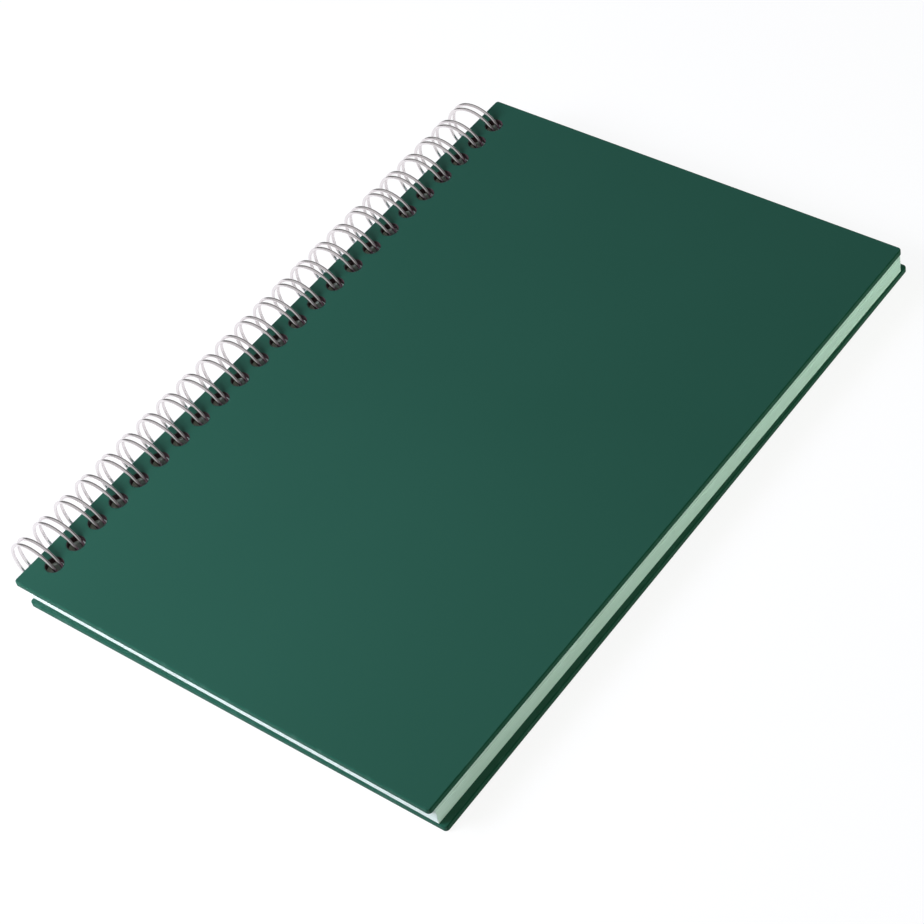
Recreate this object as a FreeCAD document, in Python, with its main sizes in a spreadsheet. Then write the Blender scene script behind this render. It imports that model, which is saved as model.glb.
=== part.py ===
import FreeCAD, Part
import Sketcher
import math
import os

# A closed hard-cover notebook with a twin-loop wire binding, in millimetres.
# It is laid out around the binding. The axis that all loops are bent round is the datum line:
# +Y runs along it from the tail of the book to its head, +X from the spine to the fore-edge,
# and z = 0 is the underside of the back cover. At the end the whole book is set down as it
# rests on a table, on the undersides of the loops and on the fore-edge of the back cover.

SIZES = [
    # the two covers
    ("cover_width", 140.0),
    ("cover_height", 214.0),
    ("board_thickness", 2.0),
    ("spine_corner_radius", 0.9),
    ("fore_corner_radius", 1.1),
    ("edge_round", 0.4),
    # the block of sheets
    ("block_width", 138.7),
    ("block_height", 211.5),
    ("block_thickness", 6.0),
    # the punching, three holes to the inch
    ("hole_count", 24),
    ("hole_pitch", 8.467),
    ("hole_diameter", 5.2),
    ("hole_margin", 6.0),
    # the binding wire
    ("wire_diameter", 0.95),
    ("loop_radius", 9.3),
    ("axis_drop", 1.0),
    ("pair_spacing", 2.3),
    ("bend_radius", 0.7),
    ("seam_clearance", 0.2),
    ("end_stub", 1.0),
    # how far the loose holes let the boards slip along the wire, turn on it and pull away from it
    ("front_slip", 0.3),
    ("front_skew_degrees", 0.2),
    ("back_slip", 0.35),
    ("back_skew_degrees", 0.3),
    ("back_pull", 0.15),
]

# Lengths below this count as none.
FLAT = 1e-6


def make_sheet(doc):
    """The driving dimensions, one named cell each."""
    sheet = doc.addObject("Spreadsheet::Sheet", "Sheet")
    for row, (name, value) in enumerate(SIZES, start=1):
        sheet.set("A%d" % row, name)
        sheet.set("B%d" % row, str(value))
        sheet.setAlias("B%d" % row, name)
    doc.recompute()
    return sheet


def new_sketch(body, name):
    """A sketch on the body's own XY plane."""
    plane = [f for f in body.Origin.OriginFeatures if f.Role == "XY_Plane"][0]
    sketch = body.newObject("Sketcher::SketchObject", name)
    sketch.AttachmentSupport = [(plane, "")]
    sketch.MapMode = "FlatFace"
    return sketch


def bind(sketch, name, constraint, expression):
    """Adds a named dimension that follows an expression."""
    index = sketch.addConstraint(constraint)
    sketch.renameConstraint(index, name)
    sketch.setExpression("Constraints." + name, expression)


def add_rectangle(sketch, width, height, left=None, bottom=None):
    """A rectangle with its lower left corner on the origin, or at left and bottom."""
    points = [FreeCAD.Vector(x, y, 0) for x, y in ((1, 1), (2, 1), (2, 2), (1, 2))]
    for start, end in zip(points, points[1:] + points[:1]):
        sketch.addGeometry(Part.LineSegment(start, end), False)
    for line in range(4):
        sketch.addConstraint(Sketcher.Constraint("Coincident", line, 2, (line + 1) % 4, 1))
    for line in (0, 2):
        sketch.addConstraint(Sketcher.Constraint("Horizontal", line))
    for line in (1, 3):
        sketch.addConstraint(Sketcher.Constraint("Vertical", line))
    bind(sketch, "width", Sketcher.Constraint("DistanceX", 0, 1, 0, 2, 1.0), width)
    bind(sketch, "height", Sketcher.Constraint("DistanceY", 1, 1, 1, 2, 1.0), height)
    if left is None:
        sketch.addConstraint(Sketcher.Constraint("Coincident", 0, 1, -1, 1))
    else:
        bind(sketch, "left", Sketcher.Constraint("DistanceX", -1, 1, 0, 1, 1.0), left)
        bind(sketch, "bottom", Sketcher.Constraint("DistanceY", -1, 1, 0, 1, 1.0), bottom)


def pad_sketch(body, sketch, name, length):
    pad = body.newObject("PartDesign::Pad", name)
    pad.Profile = sketch
    pad.setExpression("Length", length)
    sketch.Visibility = False
    return pad


def pocket_sketch(body, sketch, name, length):
    """A pocket that goes up into the piece from its underside."""
    pocket = body.newObject("PartDesign::Pocket", name)
    pocket.Profile = sketch
    pocket.Reversed = True
    pocket.setExpression("Length", length)
    return pocket


def round_edges(body, feature, name, radius, chosen):
    """A fillet on the edges of a feature that the test picks."""
    edges = ["Edge%d" % number for number, edge in enumerate(feature.Shape.Edges, start=1)
             if chosen(edge)]
    fillet = body.newObject("PartDesign::Fillet", name)
    fillet.Base = (feature, edges)
    fillet.setExpression("Radius", radius)
    return fillet


def is_upright(edge):
    """A corner of the board, seen from above."""
    box = edge.BoundBox
    return box.ZLength > max(box.XLength, box.YLength)


def is_spine_corner(edge):
    return is_upright(edge) and edge.BoundBox.XMax < FLAT


def is_fore_corner(edge):
    return is_upright(edge) and edge.BoundBox.XMin > FLAT


def lies_flat(edge):
    return edge.BoundBox.ZLength < FLAT


def punch_row(doc, body, prefix, height, thickness):
    """The row of round holes along the spine, centred on the piece's height."""
    row_length = "(Sheet.hole_count - 1) * Sheet.hole_pitch"
    before = body.Tip.Shape.Volume

    sketch = new_sketch(body, prefix + "_hole_sketch")
    sketch.addGeometry(Part.Circle(FreeCAD.Vector(2, 2, 0), FreeCAD.Vector(0, 0, 1), 1), False)
    bind(sketch, "bore", Sketcher.Constraint("Diameter", 0, 2.0), "Sheet.hole_diameter")
    bind(sketch, "margin", Sketcher.Constraint("DistanceX", -1, 1, 0, 3, 1.0), "Sheet.hole_margin")
    bind(sketch, "first", Sketcher.Constraint("DistanceY", -1, 1, 0, 3, 1.0),
         "(%s - %s) / 2" % (height, row_length))
    hole = pocket_sketch(body, sketch, prefix + "_hole", thickness)

    row = body.newObject("PartDesign::LinearPattern", prefix + "_hole_row")
    row.Originals = [hole]
    row.Direction = (sketch, ["V_Axis"])
    row.setExpression("Length", row_length)
    row.setExpression("Occurrences", "Sheet.hole_count")
    body.Tip = row
    doc.recompute()

    if not row.Shape.Volume < hole.Shape.Volume < before:
        raise RuntimeError(prefix + ": the holes do not go through")
    return row


def make_cover(doc, name):
    """A laminated board with softened corners and edges and a row of holes."""
    body = doc.addObject("PartDesign::Body", name)
    body.Label = name
    outline = new_sketch(body, name + "_outline")
    add_rectangle(outline, "Sheet.cover_width", "Sheet.cover_height")
    board = pad_sketch(body, outline, name + "_board", "Sheet.board_thickness")
    doc.recompute()
    fore_corners = round_edges(body, board, name + "_fore_corners", "Sheet.fore_corner_radius",
                               is_fore_corner)
    doc.recompute()
    all_corners = round_edges(body, fore_corners, name + "_spine_corners",
                              "Sheet.spine_corner_radius", is_spine_corner)
    doc.recompute()
    round_edges(body, all_corners, name + "_edges", "Sheet.edge_round", lies_flat)
    doc.recompute()
    punch_row(doc, body, name, "Sheet.cover_height", "Sheet.board_thickness")
    return body


def make_block(doc, name, seam_x, seam_room):
    """All the sheets as one solid, with a channel pressed into the last ones by the seam."""
    body = doc.addObject("PartDesign::Body", name)
    body.Label = name
    outline = new_sketch(body, name + "_outline")
    add_rectangle(outline, "Sheet.block_width", "Sheet.block_height")
    pad_sketch(body, outline, name + "_sheets", "Sheet.block_thickness")
    doc.recompute()
    punch_row(doc, body, name, "Sheet.block_height", "Sheet.block_thickness")

    run = "((Sheet.hole_count - 1) * Sheet.hole_pitch + Sheet.pair_spacing"
    run += " + 2 * (Sheet.bend_radius + Sheet.end_stub + Sheet.seam_clearance))"
    channel = new_sketch(body, name + "_channel_sketch")
    add_rectangle(channel, str(seam_room), run, "%f" % (seam_x - seam_room / 2),
                  "(Sheet.block_height - %s) / 2" % run)
    before = body.Tip.Shape.Volume
    cut = pocket_sketch(body, channel, name + "_channel",
                        "Sheet.wire_diameter + 2 * Sheet.seam_clearance")
    body.Tip = cut
    doc.recompute()
    if not cut.Shape.Volume < before:
        raise RuntimeError(name + ": the seam channel was not cut")
    return body


class Binding:
    """Where the wire runs: loops round the Y axis at height axis_z, worked out from the sheet."""

    def __init__(self, size):
        self.size = size
        self.wire = size["wire_diameter"] / 2
        self.loop = size["loop_radius"]
        self.half_pair = size["pair_spacing"] / 2
        self.bend = size["bend_radius"]
        self.stack = 2 * size["board_thickness"] + size["block_thickness"]
        self.axis_z = self.stack / 2 - size["axis_drop"]
        self.outer = self.loop + self.wire
        # The cross bars of the seam lie just above the back cover, under the last sheets.
        bar_z = size["board_thickness"] + self.wire + size["seam_clearance"] - self.axis_z
        self.start = math.atan(self.bend / self.loop)
        self.start += math.asin(bar_z / math.hypot(self.loop, self.bend))
        # The closed tips come up between the legs and stop half a wire below the bars.
        tip_z = bar_z - self.wire
        self.end = math.asin(tip_z / math.hypot(self.loop, self.half_pair))
        self.end += 2 * math.pi - math.atan(self.half_pair / self.loop)

    def point(self, angle, y):
        return FreeCAD.Vector(self.loop * math.cos(angle), y,
                              self.axis_z + self.loop * math.sin(angle))

    def tangent(self, angle):
        return FreeCAD.Vector(-math.sin(angle), 0, math.cos(angle))

    def bar_x(self):
        return (self.point(self.start, 0) - self.tangent(self.start) * self.bend).x

    def reach(self, low, high):
        """The middle of the loops' distance from the axis, sideways, between two heights."""
        heights = [low - self.axis_z, high - self.axis_z]
        near = min(math.sqrt(self.loop ** 2 - rise ** 2) for rise in heights)
        crosses = heights[0] < 0 < heights[1]
        far = self.loop if crosses else max(math.sqrt(self.loop ** 2 - rise ** 2) for rise in heights)
        return (near + far) / 2

    def loop_centres(self):
        count = int(self.size["hole_count"])
        pitch = self.size["hole_pitch"]
        return [(number - (count - 1) / 2) * pitch for number in range(count)]


def make_wire(doc, name, binding):
    """One wire: a leg round each loop and back, closed tips, and bars between the loops."""
    along = FreeCAD.Vector(0, 1, 0)
    up = binding.tangent(binding.start)
    over = binding.tangent(binding.end)
    middle = (binding.start + binding.end) / 2
    edges = []

    def bend_into(first, corner_middle, last):
        edges.append(Part.Arc(first, corner_middle, last).toShape())

    centres = binding.loop_centres()
    previous = None
    for centre in centres:
        near = binding.point(binding.start, centre - binding.half_pair)
        pivot = near - along * binding.bend
        foot = pivot - up * binding.bend
        if previous is None:
            previous = foot - along * binding.size["end_stub"]
        edges.append(Part.LineSegment(previous, foot).toShape())
        bend_into(foot, pivot + (along - up) * (binding.bend / math.sqrt(2)), near)

        first_leg = [binding.point(angle, centre - binding.half_pair)
                     for angle in (binding.start, middle, binding.end)]
        edges.append(Part.Arc(*first_leg).toShape())
        tip = binding.point(binding.end, centre) + over * binding.half_pair
        second_leg = [binding.point(angle, centre + binding.half_pair)
                      for angle in (binding.end, middle, binding.start)]
        bend_into(first_leg[-1], tip, second_leg[0])
        edges.append(Part.Arc(*second_leg).toShape())

        pivot = second_leg[-1] + along * binding.bend
        foot = pivot - up * binding.bend
        bend_into(second_leg[-1], pivot - (along + up) * (binding.bend / math.sqrt(2)), foot)
        previous = foot
    edges.append(Part.LineSegment(previous, previous + along * binding.size["end_stub"]).toShape())

    path = Part.Wire(edges)
    start = path.OrderedVertexes[0].Point
    section = Part.Face(Part.Wire(Part.Circle(start, along, binding.wire).toShape()))
    feature = doc.addObject("Part::Feature", name)
    feature.Label = name
    feature.Shape = path.makePipe(section)
    print("wire length", round(path.Length, 1), "volume over section times length",
          round(feature.Shape.Volume / (path.Length * math.pi * binding.wire ** 2), 4))
    return feature


def layer_placement(binding, base_z, thickness, height, slip, skew, pull=0):
    """Puts a sheet-like piece on the wire, turned by skew about the middle of its row."""
    margin = binding.size["hole_margin"]
    turn = FreeCAD.Rotation(FreeCAD.Vector(0, 0, 1), skew)
    row_middle = FreeCAD.Vector(binding.reach(base_z, base_z + thickness) + pull, slip, base_z)
    return FreeCAD.Placement(row_middle - turn.multVec(FreeCAD.Vector(margin, height / 2, 0)), turn)


def fore_reach(size, place):
    """How far the fore-edge of a placed cover reaches, at whichever end the skew pushes out."""
    ends = (size["fore_corner_radius"], size["cover_height"] - size["fore_corner_radius"])
    return max(place.multVec(FreeCAD.Vector(size["cover_width"], end, 0)).x for end in ends)


def resting_placement(binding, front_cover, back_cover):
    """Tilts the book onto its loops and the fore-edge of its back cover, centred on z = 0."""
    size = binding.size
    rounding = size["edge_round"]
    # The lowest point of the back cover's rounded fore-edge, seen from the axis, meets the
    # level of the loops' underside.
    reach_x = fore_reach(size, back_cover) - rounding
    reach_z = binding.axis_z - rounding
    tilt = math.asin((binding.outer - rounding) / math.hypot(reach_x, reach_z))
    tilt -= math.atan2(reach_z, reach_x)
    # The footprint: from the loops' outside to the fore-edge that reaches furthest.
    left = binding.axis_z * math.sin(tilt) - binding.outer
    right = rounding + max(
        (fore_reach(size, place) - rounding) * math.cos(tilt)
        + (place.Base.z + size["board_thickness"] - rounding) * math.sin(tilt)
        for place in (front_cover, back_cover))
    lift = binding.outer - binding.axis_z * math.cos(tilt)
    turn = FreeCAD.Rotation(FreeCAD.Vector(0, 1, 0), math.degrees(tilt))
    return FreeCAD.Placement(FreeCAD.Vector(-(left + right) / 2, 0, lift), turn)


def check(doc):
    for item in doc.Objects:
        if "Invalid" in item.State or "Error" in item.State:
            raise RuntimeError("%s failed: %s" % (item.Name, item.State))


def write(piece):
    shape = piece.Shape
    if shape.isNull() or not shape.isValid() or len(shape.Solids) != 1:
        raise RuntimeError(piece.Label + " is not one valid solid")
    shape.exportStep("parts/%s.step" % piece.Label)
    box = shape.BoundBox
    print(piece.Label, "volume", round(shape.Volume, 2), "box",
          [round(v, 3) for v in (box.XMin, box.YMin, box.ZMin, box.XMax, box.YMax, box.ZMax)])


def main():
    os.makedirs("parts", exist_ok=True)
    doc = FreeCAD.newDocument("notebook")
    sheet = make_sheet(doc)
    size = {name: float(sheet.get(name)) for name, value in SIZES}
    binding = Binding(size)

    board = size["board_thickness"]
    block = size["block_thickness"]
    skew = size["front_skew_degrees"]
    places = {
        "back_cover": layer_placement(binding, 0, board, size["cover_height"], size["back_slip"],
                                      size["back_skew_degrees"], size["back_pull"]),
        "page_block": layer_placement(binding, board, block, size["block_height"], 0, -skew),
        "front_cover": layer_placement(binding, board + block, board, size["cover_height"],
                                       -size["front_slip"], -skew),
    }
    resting = resting_placement(binding, places["front_cover"], places["back_cover"])

    # The channel is straight, so it is wider by what the turned block gains on the seam.
    half_run = max(binding.loop_centres()) + binding.half_pair + binding.bend + size["end_stub"]
    drift = half_run * math.tan(math.radians(skew))
    seam_room = size["wire_diameter"] + 2 * (size["seam_clearance"] + drift)
    seam_x = binding.bar_x() - binding.reach(board, board + block) + size["hole_margin"]
    pieces = {
        "back_cover": make_cover(doc, "back_cover"),
        "page_block": make_block(doc, "page_block", seam_x, seam_room),
        "front_cover": make_cover(doc, "front_cover"),
    }
    for name, piece in pieces.items():
        piece.Placement = resting * places[name]
    wire = make_wire(doc, "wire_binding", binding)
    wire.Placement = resting
    pieces["wire_binding"] = wire

    doc.recompute()
    check(doc)
    for piece in pieces.values():
        write(piece)
    axis = resting.multVec(FreeCAD.Vector(0, 0, binding.axis_z))
    print("loop axis x, z", round(axis.x, 4), round(axis.z, 4),
          "tilt", round(math.degrees(resting.Rotation.Angle), 4))
    for name, corner in (("front_cover", 0), ("back_cover", size["cover_height"])):
        face = FreeCAD.Vector(size["cover_width"] / 2, corner, board / 2)
        place = resting * places[name]
        outward = place.Rotation.multVec(FreeCAD.Vector(0, -1 if corner == 0 else 1, 0))
        print(name, "end face", place.multVec(face), outward)


main()
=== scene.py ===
import math
import random

import bpy
from mathutils import Matrix, Vector
from mathutils.geometry import tessellate_polygon


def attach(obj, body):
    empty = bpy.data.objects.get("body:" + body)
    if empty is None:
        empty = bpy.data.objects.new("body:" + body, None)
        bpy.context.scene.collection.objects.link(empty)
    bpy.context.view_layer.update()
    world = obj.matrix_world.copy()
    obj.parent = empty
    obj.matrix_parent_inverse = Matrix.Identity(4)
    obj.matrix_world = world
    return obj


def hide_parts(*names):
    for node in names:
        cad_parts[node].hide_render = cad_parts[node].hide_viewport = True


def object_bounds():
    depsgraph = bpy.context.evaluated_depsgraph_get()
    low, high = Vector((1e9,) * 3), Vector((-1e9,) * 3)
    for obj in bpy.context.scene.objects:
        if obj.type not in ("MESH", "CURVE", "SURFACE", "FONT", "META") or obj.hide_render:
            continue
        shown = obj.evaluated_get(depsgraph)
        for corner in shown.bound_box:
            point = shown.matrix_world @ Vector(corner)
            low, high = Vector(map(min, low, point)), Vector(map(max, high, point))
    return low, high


# A wire-bound hard-cover notebook, in metres. The covers and the wire are the frame's own
# solids with new materials. The block of sheets is replaced by its single sheets.

MM = 0.001

# The punching, as it is in the covers and sheets
HOLE_COUNT = 24
HOLE_PITCH = 8.467 * MM
HOLE_RADIUS = 2.6 * MM
HOLE_MARGIN = 6.0 * MM

# The sheets
LEAF_COUNT = 58
LEAF_SHARE = 0.86
LEAF_SHIFT = 0.08 * MM
TAIL_INSET = 0.5 * MM
HOLE_SIDES = 20
PUNCHED_STRIP = 12.0 * MM

# The room that the last sheets leave for the wire's seam, along the row of holes
SEAM_MIDDLE = 6.38 * MM
SEAM_WIDTH = 2.05 * MM
SEAM_LENGTH = 200.84 * MM
SEAM_DEPTH = 1.35 * MM

# The camera of the photograph
CAMERA_PLACE = (0.36508, -0.32028, 0.47870)
CAMERA_TURN = (43.705, 11.278, 37.423)
CAMERA_LENS = 97.445

# The light of the room, as surfaces receive it and as they mirror it
WHITE = (1.0, 1.0, 1.0, 1.0)
AMBIENT = 0.16
AMBIENT_COLOUR = (1.0, 1.0, 0.75, 1.0)
MIRRORED_ROOM = 0.11
MIRRORED_HORIZON = 0.4
HORIZON_TOP = 0.3
MIRRORED_SOFTBOX = 0.5
SOFTBOX_DIRECTION = (-0.1, -0.6, 0.79)
SOFTBOX_EDGE = 0.35
SOFTBOX_CORE = 0.8

# Each lamp's name, place, target, size, power and colour: a soft key over the tail, a bluish
# sheen from the left and a low fill on the fore-edge. They light the surfaces, but glossy
# surfaces mirror only the room.
LAMPS = (
    ("key", (-0.30, -0.38, 0.36), (-0.02, -0.02, 0.0), (0.28, 0.28), 4.4, (0.84, 0.87, 1.0)),
    ("sheen", (-0.75, 0.05, 0.55), (-0.05, -0.05, 0.0), (0.7, 0.5), 2.6, (0.52, 0.56, 1.0)),
    ("fill", (0.55, 0.38, 0.035), (0.08, 0.03, 0.01), (0.3, 0.05), 2.4, (0.66, 1.0, 0.82)),
)

# The table top and how much of it is plain white to the camera. The rest shows its shadows.
TABLE_SIZE = 6.0
TABLE_GAP = 0.02 * MM
TABLE_COLOUR = (0.9, 0.9, 0.9, 1.0)
TABLE_GLOW_SHARE = 0.85
TABLE_GLOW = 1.06

# Colours as display values from 0 to 255, and the wire's as a shader takes them
FILM_DARK = (36, 86, 69)
FILM_LIGHT = (41, 92, 75)
FILM_RUBBED = (96, 138, 122)
# Painted shade on the film, in a ring round each hole and along the fore-edge
FILM_SHADE_AT_HOLES = (24, 50, 44)
FILM_SHADE_AT_FORE_EDGE = (22, 58, 42)
DUST_COLOUR = (140, 165, 150)
# The grey board in the holes, its own pinkish grey painted dark as the shade inside them
SHADED_BOARD_DARK = (58, 44, 47)
SHADED_BOARD_LIGHT = (104, 84, 88)
# Pale paper with a green tint painted in as light thrown back from the green covers
PAPER_DARK_GREEN_BOUNCE = (222, 233, 226)
PAPER_LIGHT_GREEN_BOUNCE = (232, 240, 234)
PAPER_FIBRE_COLOUR = (205, 212, 206)
WIRE_DARK = (0.76, 0.72, 0.735, 1.0)
WIRE_LIGHT = (0.86, 0.82, 0.83, 1.0)

# How strongly each marking covers what is under it. The ones at the holes and the fore-edge are painted
# shade.
RUBBED_SHARE = 0.2
HOLE_SHADE_SHARE = 0.7
FORE_EDGE_SHADE_SHARE = 0.7
DUST_SHARE = 0.5
PAPER_FIBRE_SHARE = 0.12

# The noise patterns, each as its scale and its detail
CLOUD = (9.0, 3.0)
WAVE = (24.0, 1.0)
GLOSS = (30.0, 4.0)
RUB = (260.0, 5.0)
WIRE_MARKS = (900.0, 4.0)
BOARD_FIBRE = (1500.0, 6.0)
PAPER_FIBRE = (2200.0, 5.0)
GRAIN = (2600.0, 2.0)

# The parts of a noise's values that are used
NOISE_RANGE = (0.3, 0.7)
RUB_RANGE = (0.5, 0.72)

# The specks: how dense their cells are, how large each is in its cell and how few cells have one
DUST_SCALE = 55.0
SPECK_BAND = (0.006, 0.012)
SPECK_RARITY = 0.93

# Bands on a cover: beyond a hole's rim, for its wall and its ring of painted shade and dip, in from the
# nearest edge, and in from the fore-edge for painted shade
WALL_BAND = (0.02 * MM, 0.06 * MM)
RIM_BAND = (0.05 * MM, 0.35 * MM)
RUBBED_BAND = (0.1 * MM, 0.7 * MM)
SHINE_BAND = (0.15 * MM, 0.45 * MM)
FORE_EDGE_SHADE_BAND = (0.45 * MM, 0.15 * MM)

# Roughness and shine
FILM_ROUGHNESS = (0.40, 0.47)
FILM_SHINE = (0.03, 0.25)
BOARD_ROUGHNESS = 0.9
PAPER_ROUGHNESS = 0.85
PAPER_SHINE = 0.2
WIRE_ROUGHNESS = (0.12, 0.2)

# How high each unevenness stands, and how far the film dips round a hole
GRAIN_HEIGHT = 0.0035 * MM
WAVE_HEIGHT = 0.05 * MM
RIM_DIP = 0.05 * MM
BOARD_FIBRE_HEIGHT = 0.05 * MM
PAPER_FIBRE_HEIGHT = 0.004 * MM
WIRE_MARK_HEIGHT = 0.004 * MM

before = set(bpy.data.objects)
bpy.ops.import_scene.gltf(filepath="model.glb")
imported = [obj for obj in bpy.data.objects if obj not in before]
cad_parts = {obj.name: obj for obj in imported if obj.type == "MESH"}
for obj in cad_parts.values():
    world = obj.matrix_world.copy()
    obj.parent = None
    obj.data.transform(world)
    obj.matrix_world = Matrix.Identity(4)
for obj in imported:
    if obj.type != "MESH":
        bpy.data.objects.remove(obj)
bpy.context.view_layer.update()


class Slab:
    """A sheet-like solid's own directions and corner, read from its mesh in the frame."""

    def __init__(self, node):
        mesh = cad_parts[node].data
        areas = {}
        for face in mesh.polygons:
            key = tuple(round(value, 3) for value in face.normal)
            areas[key] = areas.get(key, 0.0) + face.area
        flat = max(areas, key=lambda key: areas[key] * (key[2] > 0.5))
        side = max(areas, key=lambda key: areas[key] * (key[0] > 0.9))
        self.up = self.mean_normal(mesh, flat)
        self.along_y = self.up.cross(self.mean_normal(mesh, side)).normalized()
        self.along_x = self.along_y.cross(self.up)
        axes = (self.along_x, self.along_y, self.up)
        spans = [[vertex.co.dot(axis) for vertex in mesh.vertices] for axis in axes]
        low = [min(values) for values in spans]
        self.size = Vector(max(values) - value for values, value in zip(spans, low))
        self.corner = sum((axis * value for axis, value in zip(axes, low)), Vector())

    @staticmethod
    def mean_normal(mesh, key):
        """The common direction of the faces whose rounded normal is the key."""
        total = Vector()
        for face in mesh.polygons:
            if tuple(round(value, 3) for value in face.normal) == key:
                total += face.normal * face.area
        return total.normalized()

    def matrix(self):
        """From the slab's own coordinates, with its lowest corner as origin, to the frame."""
        axes = Matrix((self.along_x, self.along_y, self.up)).transposed().to_4x4()
        return Matrix.Translation(self.corner) @ axes


def first_hole(height):
    """How far the first hole's middle lies from the end of a board or sheet."""
    return (height - (HOLE_COUNT - 1) * HOLE_PITCH) / 2


class Nodes:
    """A small helper that adds shader nodes to one material and links them."""

    def __init__(self, name):
        self.material = bpy.data.materials.new(name)
        self.material.use_nodes = True
        self.tree = self.material.node_tree
        self.tree.nodes.clear()
        self.output = self.tree.nodes.new("ShaderNodeOutputMaterial")

    def add(self, kind, inputs=None, **settings):
        node = self.tree.nodes.new("ShaderNode" + kind)
        for key, value in settings.items():
            setattr(node, key, value)
        for key, value in (inputs or {}).items():
            self.set(node, key, value)
        return node

    def set(self, node, key, value):
        if isinstance(value, bpy.types.NodeSocket):
            self.tree.links.new(value, node.inputs[key])
        elif isinstance(value, bpy.types.Node):
            self.tree.links.new(value.outputs[0], node.inputs[key])
        else:
            node.inputs[key].default_value = value

    def math(self, operation, *values):
        """One sum on values or sockets."""
        return self.add("Math", dict(enumerate(values)), operation=operation)

    def noise(self, point, pattern):
        """The value of a noise pattern, given as its scale and detail, at a point."""
        scale, detail = pattern
        node = self.add("TexNoise", {"Vector": point, "Scale": scale, "Detail": detail})
        return node.outputs[0]

    def ramp(self, value, low, high, start=0.0, end=1.0):
        """A smooth step from start at low to end at high."""
        return self.add("MapRange", {"Value": value, "From Min": low, "From Max": high,
                                     "To Min": start, "To Max": end},
                        interpolation_type="SMOOTHSTEP")

    def mix(self, factor, first, second):
        node = self.add("Mix", {"Factor": factor}, data_type="RGBA")
        self.set(node, 6, first)
        self.set(node, 7, second)
        return node.outputs[2]

    def along(self, point, axis, origin):
        """How far a point lies from an origin along an axis."""
        offset = self.add("VectorMath", {0: point, 1: origin}, operation="SUBTRACT")
        product = self.add("VectorMath", {0: offset, 1: axis}, operation="DOT_PRODUCT")
        return product.outputs["Value"]

    def finish(self, height, inputs):
        """Ends the material in a shader with these inputs, uneven by a height in metres."""
        bump = self.add("Bump", {"Height": height, "Strength": 1.0, "Distance": 1.0})
        surface = self.add("BsdfPrincipled", {**inputs, "Normal": bump})
        self.set(self.output, "Surface", surface)
        return self.material


def srgb(colour):
    """A colour given as display values from 0 to 255, as a shader takes it."""
    def linear(value):
        value /= 255
        return value / 12.92 if value <= 0.04045 else ((value + 0.055) / 1.055) ** 2.4
    return (*(linear(value) for value in colour), 1.0)


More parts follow.
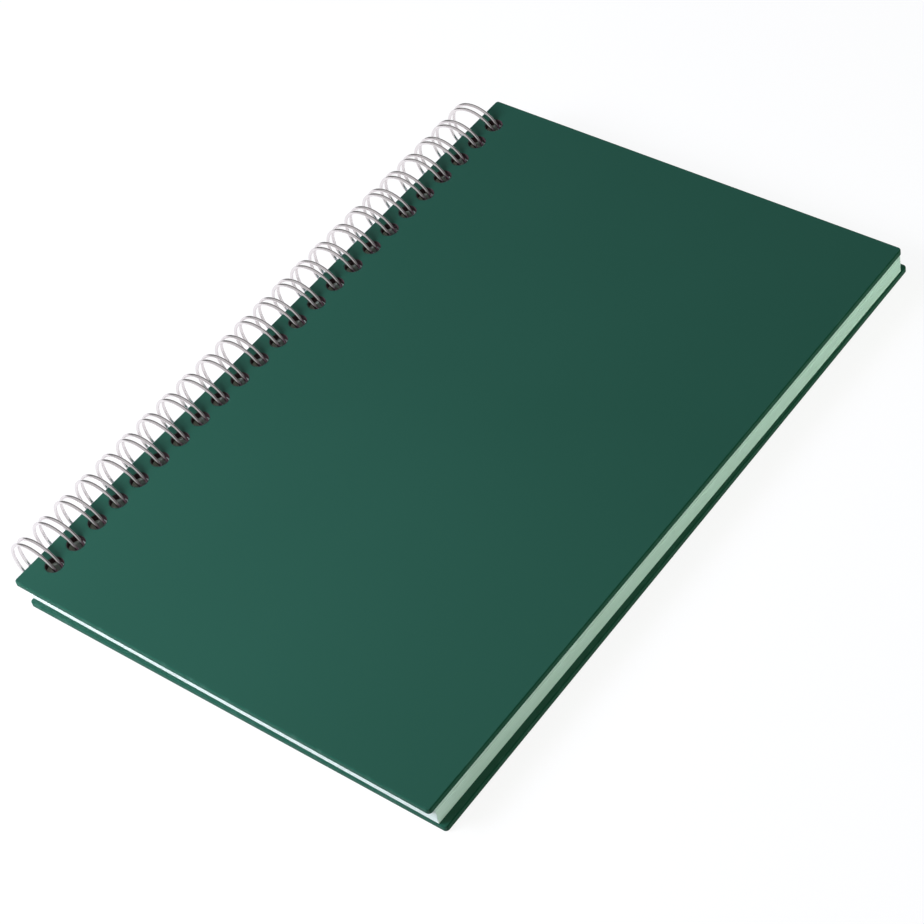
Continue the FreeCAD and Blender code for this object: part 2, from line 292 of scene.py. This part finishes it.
def cover_material(name, slab):
    """Green laminated board: satin film, faint unevenness, grey board in the punched holes painted dark
    as the shade inside them, and painted shade on the film round the holes and along the fore-edge.
    """
    shader = Nodes(name)
    point = shader.add("TexCoord").outputs["Object"]
    across = shader.along(point, slab.along_x, slab.corner)
    length = shader.along(point, slab.along_y, slab.corner)

    # How far each point lies from the middle of the nearest hole
    row = shader.math("SUBTRACT", length, first_hole(slab.size.y))
    row = shader.math("PINGPONG", row, HOLE_PITCH / 2)
    side = shader.math("SUBTRACT", across, HOLE_MARGIN)
    squares = shader.math("ADD", shader.math("MULTIPLY", row, row), shader.math("MULTIPLY", side, side))
    beyond = shader.math("ABSOLUTE", shader.math("SUBTRACT", length, slab.size.y / 2))
    beyond = shader.math("GREATER_THAN", beyond, HOLE_COUNT * HOLE_PITCH / 2)
    radial = shader.math("ADD", shader.math("SQRT", squares), beyond)
    wall = shader.ramp(radial, HOLE_RADIUS + WALL_BAND[0], HOLE_RADIUS + WALL_BAND[1], 1.0, 0.0)
    # A ring round each hole, for the painted shade on the film there and for the film's dip
    rim = shader.ramp(radial, HOLE_RADIUS + RIM_BAND[0], HOLE_RADIUS + RIM_BAND[1], 1.0, 0.0)

    # The edges of the board, where the film is stretched and rubbed
    margins = [across, shader.math("SUBTRACT", slab.size.x, across),
               length, shader.math("SUBTRACT", slab.size.y, length)]
    nearest = margins[0]
    for margin in margins[1:]:
        nearest = shader.math("MINIMUM", nearest, margin)
    edge = shader.ramp(nearest, *RUBBED_BAND, 1.0, 0.0)
    worn = shader.ramp(shader.noise(point, RUB), *RUB_RANGE)
    rubbed = shader.math("MULTIPLY", edge, worn)

    film = shader.mix(shader.noise(point, CLOUD), srgb(FILM_DARK), srgb(FILM_LIGHT))
    film = shader.mix(shader.math("MULTIPLY", rubbed, RUBBED_SHARE), film, srgb(FILM_RUBBED))
    # Painted shade: the film darkens in a ring round each hole
    film = shader.mix(shader.math("MULTIPLY", rim, HOLE_SHADE_SHARE), film, srgb(FILM_SHADE_AT_HOLES))
    # Painted shade: the film darkens along the rounded fore-edge, which is turned away from the lamps
    fore = shader.ramp(across, slab.size.x - FORE_EDGE_SHADE_BAND[0], slab.size.x - FORE_EDGE_SHADE_BAND[1])
    film = shader.mix(shader.math("MULTIPLY", fore, FORE_EDGE_SHADE_SHARE), film, srgb(FILM_SHADE_AT_FORE_EDGE))

    # Pale specks of dust, a few to the page
    dust = shader.add("TexVoronoi", {"Vector": point, "Scale": DUST_SCALE, "Randomness": 1.0})
    chosen = shader.add("SeparateColor", {"Color": dust.outputs["Color"]}).outputs[0]
    speck = shader.math("MULTIPLY",
                        shader.ramp(dust.outputs["Distance"], *SPECK_BAND, 1.0, 0.0),
                        shader.math("GREATER_THAN", chosen, SPECK_RARITY))
    film = shader.mix(shader.math("MULTIPLY", speck, DUST_SHARE), film, srgb(DUST_COLOUR))

    fibre = shader.noise(point, BOARD_FIBRE)
    # The grey board in the holes, painted dark as the shade inside them
    board = shader.mix(fibre, srgb(SHADED_BOARD_DARK), srgb(SHADED_BOARD_LIGHT))
    colour = shader.mix(wall, film, board)

    roughness = shader.ramp(shader.noise(point, GLOSS), *NOISE_RANGE, *FILM_ROUGHNESS)
    roughness = shader.math("MAXIMUM", roughness, shader.math("MULTIPLY", wall, BOARD_ROUGHNESS))

    height = shader.math("MULTIPLY_ADD", shader.noise(point, GRAIN), GRAIN_HEIGHT,
                         shader.math("MULTIPLY", shader.noise(point, WAVE), WAVE_HEIGHT))
    height = shader.math("MULTIPLY_ADD", rim, -RIM_DIP, height)
    height = shader.math("MULTIPLY_ADD", shader.math("MULTIPLY", wall, fibre),
                         BOARD_FIBRE_HEIGHT, height)

    shine = shader.ramp(nearest, *SHINE_BAND, *FILM_SHINE)
    return shader.finish(height, {"Base Color": colour, "Roughness": roughness,
                                  "Specular IOR Level": shine})


def paper_material(name, slab):
    """White uncoated paper with a green tint painted in as light thrown back from the covers, a little
    lighter or darker from sheet to sheet.
    """
    shader = Nodes(name)
    point = shader.add("TexCoord").outputs["Object"]
    height = shader.along(point, slab.up, slab.corner)
    # One value for each sheet, from its height in the block
    sheet = shader.math("FLOOR", shader.math("MULTIPLY", height, LEAF_COUNT / slab.size.z))
    tone = shader.add("TexWhiteNoise", {"W": sheet}, noise_dimensions="1D").outputs["Value"]
    fibre = shader.noise(point, PAPER_FIBRE)
    # Painted light: the pale tones carry a green tint standing in for light thrown back from the covers
    pale = shader.mix(tone, srgb(PAPER_DARK_GREEN_BOUNCE), srgb(PAPER_LIGHT_GREEN_BOUNCE))
    fibres = shader.math("MULTIPLY", fibre, PAPER_FIBRE_SHARE)
    colour = shader.mix(fibres, pale, srgb(PAPER_FIBRE_COLOUR))
    relief = shader.math("MULTIPLY", fibre, PAPER_FIBRE_HEIGHT)
    return shader.finish(relief, {"Base Color": colour, "Roughness": PAPER_ROUGHNESS,
                                  "Specular IOR Level": PAPER_SHINE})


def wire_material(name):
    """Satin silver wire with faint handling marks."""
    shader = Nodes(name)
    point = shader.add("TexCoord").outputs["Object"]
    marks = shader.noise(point, WIRE_MARKS)
    colour = shader.mix(marks, WIRE_DARK, WIRE_LIGHT)
    roughness = shader.ramp(marks, *NOISE_RANGE, *WIRE_ROUGHNESS)
    relief = shader.math("MULTIPLY", marks, WIRE_MARK_HEIGHT)
    return shader.finish(relief, {"Base Color": colour, "Metallic": 1.0, "Roughness": roughness})


def give(node, material):
    """Puts a material in the slots of one of the frame's own nodes."""
    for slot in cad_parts[node].material_slots:
        slot.link = "OBJECT"
        slot.material = material


def arc(middle_y, start, end, sides):
    """Points on a hole's rim from one angle to another, counted in sides."""
    return [(HOLE_MARGIN + HOLE_RADIUS * math.cos(start + (end - start) * side / sides),
             middle_y + HOLE_RADIUS * math.sin(start + (end - start) * side / sides))
            for side in range(sides + 1)]


def sheet_outline(width, height):
    """A sheet's outline, with two more points where its punched strip ends."""
    return [(0, TAIL_INSET), (PUNCHED_STRIP, TAIL_INSET), (width, TAIL_INSET),
            (width, height), (PUNCHED_STRIP, height), (0, height)]


def punched_loops(width, height):
    """The outline of a plain sheet and of its round holes."""
    first = first_hole(height)
    holes = [arc(first + hole * HOLE_PITCH, 0, 2 * math.pi, HOLE_SIDES)[:-1]
             for hole in range(HOLE_COUNT)]
    return [sheet_outline(width, height)] + holes


def parted_loops(width, height):
    """The outline of one of the last sheets, where the seam joins the holes to one opening."""
    left, right = SEAM_MIDDLE - SEAM_WIDTH / 2, SEAM_MIDDLE + SEAM_WIDTH / 2
    low, high = (height - SEAM_LENGTH) / 2, (height + SEAM_LENGTH) / 2
    first = first_hole(height)
    middles = [first + hole * HOLE_PITCH for hole in range(HOLE_COUNT)]
    meet_right = math.acos((right - HOLE_MARGIN) / HOLE_RADIUS)
    meet_left = math.acos((left - HOLE_MARGIN) / HOLE_RADIUS)
    opening = [(left, low), (right, low)]
    for middle in middles:
        opening += arc(middle, -meet_right, meet_right, HOLE_SIDES // 2)
    opening += [(right, high), (left, high)]
    for middle in reversed(middles):
        opening += arc(middle, meet_left, 2 * math.pi - meet_left, HOLE_SIDES // 2)
    return [sheet_outline(width, height), opening]


class Leaf:
    """A flat outline with openings, cut into triangles once and used for many sheets."""

    def __init__(self, loops):
        self.loops = loops
        self.points = [point for loop in loops for point in loop]
        # The punched strip and the plain rest of the sheet meet along the line from 1 to 4
        self.triangles = [(1, 2, 3), (1, 3, 4)]
        strip = [0, 1, 4, 5] + list(range(len(loops[0]), len(self.points)))
        corners = [[Vector((*self.points[corner], 0)) for corner in strip[:4]]]
        flat = corners + [[Vector((x, y, 0)) for x, y in loop] for loop in loops[1:]]
        for triangle in tessellate_polygon(flat):
            triangle = tuple(strip[corner] for corner in triangle)
            a, b, c = (self.points[corner] for corner in triangle)
            turn = (b[0] - a[0]) * (c[1] - a[1]) - (b[1] - a[1]) * (c[0] - a[0])
            self.triangles.append(triangle if turn > 0 else triangle[::-1])

    def add_to(self, vertices, faces, bottom, top, shift):
        """Adds a closed sheet between two heights to the lists of a mesh."""
        under = len(vertices)
        over = under + len(self.points)
        for height in (bottom, top):
            vertices += [(x + shift[0], y + shift[1], height) for x, y in self.points]
        for a, b, c in self.triangles:
            faces.append((under + c, under + b, under + a))
            faces.append((over + a, over + b, over + c))
        start = 0
        for number, loop in enumerate(self.loops):
            count = len(loop)
            paper_on_left = self.runs_left(number)
            for side in range(count):
                a, b = start + side, start + (side + 1) % count
                wall = (under + a, under + b, over + b, over + a)
                faces.append(wall if paper_on_left else wall[::-1])
            start += count

    def runs_left(self, number):
        """Whether a loop has the paper on its left, seen from above."""
        loop = self.loops[number]
        area = sum(a[0] * b[1] - a[1] * b[0] for a, b in zip(loop, loop[1:] + loop[:1]))
        return (area > 0) == (number == 0)


def make_pages(slab):
    """The block's sheets one by one, each a hair out of line with its neighbours."""
    draw = random.Random(7)
    step = slab.size.z / LEAF_COUNT
    plain = Leaf(punched_loops(slab.size.x, slab.size.y))
    parted = Leaf(parted_loops(slab.size.x, slab.size.y))
    vertices, faces = [], []
    for number in range(LEAF_COUNT):
        bottom = number * step
        shift = (draw.uniform(-1, 1) * LEAF_SHIFT, draw.uniform(-1, 1) * LEAF_SHIFT)
        leaf = parted if bottom < SEAM_DEPTH else plain
        leaf.add_to(vertices, faces, bottom, bottom + step * LEAF_SHARE, shift)
    data = bpy.data.meshes.new("page_sheets")
    data.from_pydata(vertices, [], faces)
    data.transform(slab.matrix())
    pages = bpy.data.objects.new("page_sheets", data)
    bpy.context.scene.collection.objects.link(pages)
    data.materials.append(paper_material("paper", slab))
    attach(pages, "block")
    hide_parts("page_block")


def make_floor():
    """A white table top, bright to the camera and softly shaded by what stands on it."""
    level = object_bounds()[0].z - TABLE_GAP
    bpy.ops.mesh.primitive_plane_add(size=TABLE_SIZE, location=(0, 0, level))
    floor = bpy.context.object
    floor.name = "floor"
    shader = Nodes("table_top")
    white = shader.add("BsdfDiffuse", {"Color": TABLE_COLOUR})
    glow = shader.add("Emission", {"Color": WHITE, "Strength": TABLE_GLOW})
    path = shader.add("LightPath")
    seen = shader.math("MAXIMUM", path.outputs["Is Camera Ray"], path.outputs["Is Glossy Ray"])
    share = shader.math("MULTIPLY", seen, TABLE_GLOW_SHARE)
    mixed = shader.add("MixShader", {0: share, 1: white, 2: glow})
    shader.set(shader.output, "Surface", mixed)
    floor.data.materials.append(shader.material)


def make_world():
    """White behind everything. Reflections show a dim ceiling, paler walls and one softbox."""
    world = bpy.data.worlds.new("studio")
    bpy.context.scene.world = world
    world.use_nodes = True
    tree = world.node_tree
    tree.nodes.clear()

    def add(kind, **inputs):
        node = tree.nodes.new("ShaderNode" + kind)
        for key, value in inputs.items():
            node.inputs[key.replace("_", " ")].default_value = value
        return node

    def link(source, target):
        tree.links.new(source, target)

    path = add("LightPath")
    ambient = add("Background", Color=AMBIENT_COLOUR, Strength=AMBIENT)
    mirrored = add("Background", Color=WHITE)
    white = add("Background", Color=WHITE, Strength=1.0)
    direction = add("TexCoord").outputs["Generated"]
    parts = add("SeparateXYZ")
    link(direction, parts.inputs[0])
    horizon = add("MapRange", From_Min=0.0, From_Max=HORIZON_TOP,
                  To_Min=MIRRORED_HORIZON, To_Max=MIRRORED_ROOM)
    horizon.interpolation_type = "SMOOTHSTEP"
    link(parts.outputs["Z"], horizon.inputs["Value"])
    facing = tree.nodes.new("ShaderNodeVectorMath")
    facing.operation = "DOT_PRODUCT"
    facing.inputs[1].default_value = SOFTBOX_DIRECTION
    link(direction, facing.inputs[0])
    softbox = add("MapRange", From_Min=SOFTBOX_EDGE, From_Max=SOFTBOX_CORE,
                  To_Min=0.0, To_Max=MIRRORED_SOFTBOX)
    softbox.interpolation_type = "SMOOTHSTEP"
    link(facing.outputs["Value"], softbox.inputs["Value"])
    strength = add("Math")
    link(horizon.outputs[0], strength.inputs[0])
    link(softbox.outputs[0], strength.inputs[1])
    link(strength.outputs[0], mirrored.inputs["Strength"])
    room = add("MixShader")
    link(path.outputs["Is Glossy Ray"], room.inputs[0])
    link(ambient.outputs[0], room.inputs[1])
    link(mirrored.outputs[0], room.inputs[2])
    seen = add("MixShader")
    link(path.outputs["Is Camera Ray"], seen.inputs[0])
    link(room.outputs[0], seen.inputs[1])
    link(white.outputs[0], seen.inputs[2])
    output = add("OutputWorld")
    link(seen.outputs[0], output.inputs["Surface"])


def add_light(name, place, target, size, power, colour):
    """One rectangular lamp that looks at its target and isn't seen in reflections."""
    data = bpy.data.lights.new(name, "AREA")
    data.shape = "RECTANGLE"
    data.size, data.size_y = size
    data.energy = power
    data.color = colour
    light = bpy.data.objects.new(name, data)
    bpy.context.scene.collection.objects.link(light)
    light.location = place
    light.visible_glossy = False
    light.rotation_euler = (Vector(target) - Vector(place)).to_track_quat("-Z", "Y").to_euler()


def make_camera():
    data = bpy.data.cameras.new("camera")
    data.lens = CAMERA_LENS
    camera = bpy.data.objects.new("camera", data)
    bpy.context.scene.collection.objects.link(camera)
    camera.location = CAMERA_PLACE
    camera.rotation_euler = [math.radians(value) for value in CAMERA_TURN]
    bpy.context.scene.camera = camera


make_camera()
make_world()
for lamp in LAMPS:
    add_light(*lamp)

for cover in ("front_cover", "back_cover"):
    give(cover, cover_material(cover + "_film", Slab(cover)))
give("wire_binding", wire_material("silver_wire"))
make_pages(Slab("page_block"))
make_floor()

bpy.context.scene.view_settings.view_transform = "Standard"
